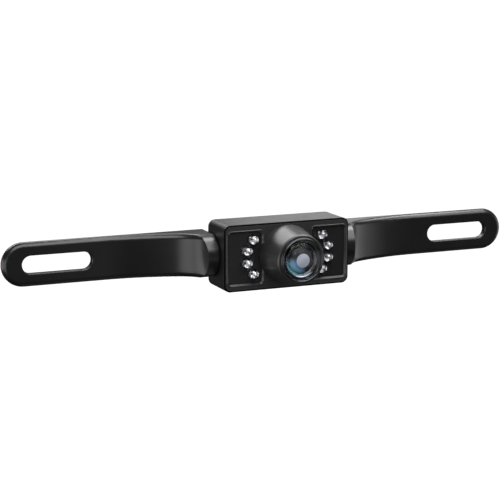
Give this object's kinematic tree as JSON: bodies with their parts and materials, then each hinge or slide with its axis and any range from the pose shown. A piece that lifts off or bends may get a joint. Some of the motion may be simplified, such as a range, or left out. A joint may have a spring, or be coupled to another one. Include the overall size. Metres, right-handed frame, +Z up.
{
  "type": "backup camera",
  "caption": "Number-plate bar with rounded slotted ends and a tilting weatherproof camera head, domed lens and infrared lamps.",
  "frame": {"origin": "centre of the two plate slots' pattern, on the bar's flat back", "axes": "+X along the bar, +Y out of its back towards the number plate, +Z up; the camera looks along -Y"},
  "size_m": [0.222, 0.0397, 0.0268],
  "materials": {
    "bar_plastic": "satin black moulded ABS",
    "housing_plastic": "satin black moulded ABS",
    "panel_plastic": "smooth black infrared panel",
    "rubber": "soft black rubber",
    "optical_glass": "clear coated optical glass",
    "lens_metal": "black anodised",
    "holder_plastic": "matte black",
    "chip_plastic": "matte moulded epoxy",
    "steel": "bright zinc plated",
    "board_laminate": "green solder mask",
    "connector_plastic": "natural nylon",
    "brass": "turned brass",
    "lamp_resin": "clear epoxy lamp"
  },
  "bodies": {
    "bar": {"bracket": "bar_plastic"},
    "camera_head": {"aperture_ring": "lens_metal", "board_capacitors": "chip_plastic", "board_header": "holder_plastic", "board_screws": "steel", "board_spacers": "brass", "cable_connector": "connector_plastic", "cable_gland": "rubber", "clock_crystal": "steel", "friction_washer_left": "rubber", "friction_washer_right": "rubber", "front_cover": "housing_plastic", "front_lens": "optical_glass", "holder_screws": "steel", "housing_screws": "steel", "housing_seal": "rubber", "image_sensor": "chip_plastic", "ir_cut_filter": "optical_glass", "ir_led_1": "lamp_resin", "ir_led_2": "lamp_resin", "ir_led_3": "lamp_resin", "ir_led_4": "lamp_resin", "ir_led_5": "lamp_resin", "ir_led_6": "lamp_resin", "ir_led_7": "lamp_resin", "ir_led_8": "lamp_resin", "led_board": "board_laminate", "led_panel_left": "panel_plastic", "led_panel_right": "panel_plastic", "led_resistors": "chip_plastic", "lens_body": "lens_metal", "lens_holder": "holder_plastic", "lens_lock_ring": "lens_metal", "lens_seal": "rubber", "lens_spacer": "lens_metal", "lens_trim_ring": "lens_metal", "main_board": "board_laminate", "pivot_nut_left": "steel", "pivot_nut_right": "steel", "pivot_screw_left": "steel", "pivot_screw_right": "steel", "pivot_washer_left": "steel", "pivot_washer_right": "steel", "rear_housing": "housing_plastic", "rear_lens": "optical_glass", "rear_lens_ring": "lens_metal", "second_lens": "optical_glass", "third_lens": "optical_glass", "video_chips": "chip_plastic"}
  },
  "joints": [
    {"name": "camera_tilt", "type": "hinge", "parent": "bar", "child": "camera_head", "pos_m": [0, -0.0108, 0], "axis": [1, 0, 0], "range_deg": [-18, 18]}
  ]
}
